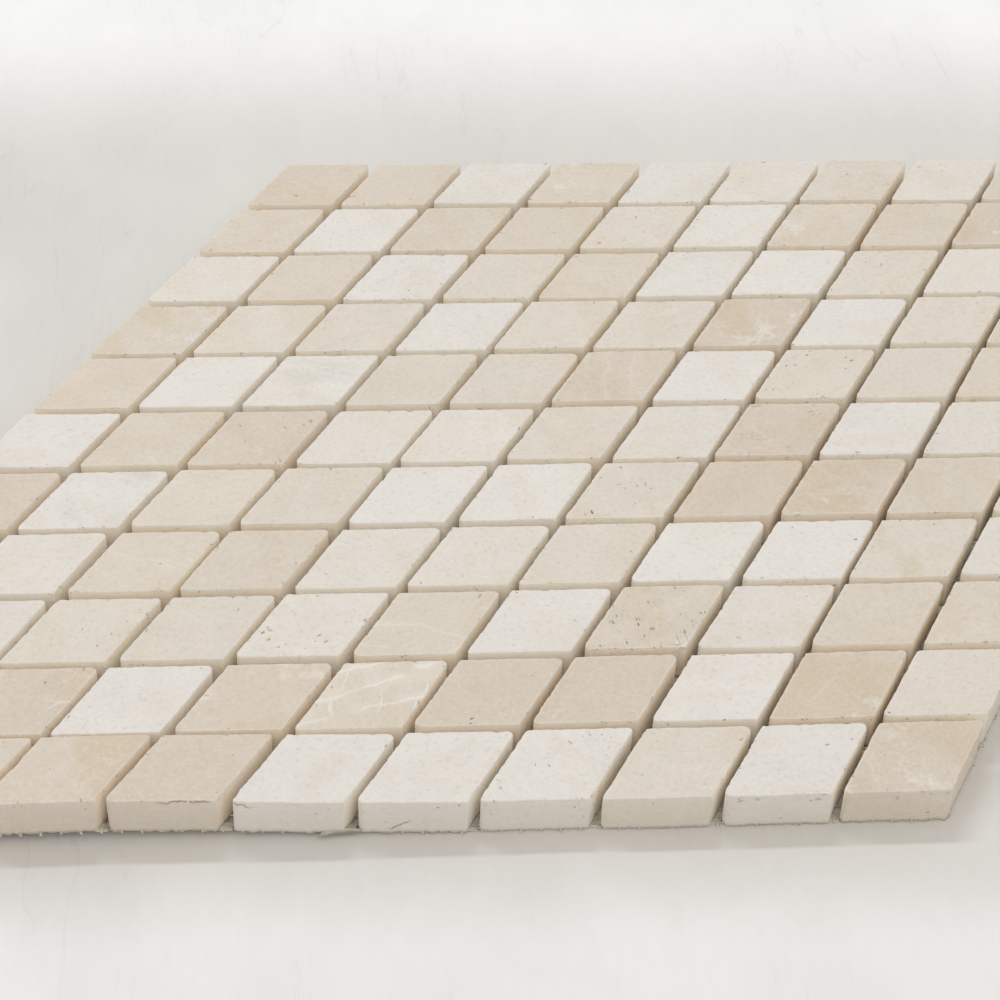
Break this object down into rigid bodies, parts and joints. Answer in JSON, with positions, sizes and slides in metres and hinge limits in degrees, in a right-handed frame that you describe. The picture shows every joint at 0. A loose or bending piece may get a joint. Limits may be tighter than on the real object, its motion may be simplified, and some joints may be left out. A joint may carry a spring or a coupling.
{
  "type": "mosaic tile sheet",
  "caption": "Flat rhombus-shaped sheet of small rhombic natural stone tiles with open joints, held together by a glass-fibre mesh on the back.",
  "frame": {"origin": "middle of the sheet's back, on the plane that the mesh lies on", "axes": "+Z out of the tiles' faces, +X along the rows, +Y across the rows; the columns lean from +Y towards +X by 30 degrees"},
  "size_m": [0.4548, 0.263, 0.01],
  "materials": {
    "stone": "honed limestone-like marble with worn edges",
    "mesh": "resin-coated glass-fibre net"
  },
  "bodies": {
    "root": {"tile_row_01": "stone", "tile_row_02": "stone", "tile_row_03": "stone", "tile_row_04": "stone", "tile_row_05": "stone", "tile_row_06": "stone", "tile_row_07": "stone", "tile_row_08": "stone", "tile_row_09": "stone", "tile_row_10": "stone", "tile_row_11": "stone", "mesh_weft": "mesh", "mesh_warp": "mesh"}
  },
  "joints": []
}
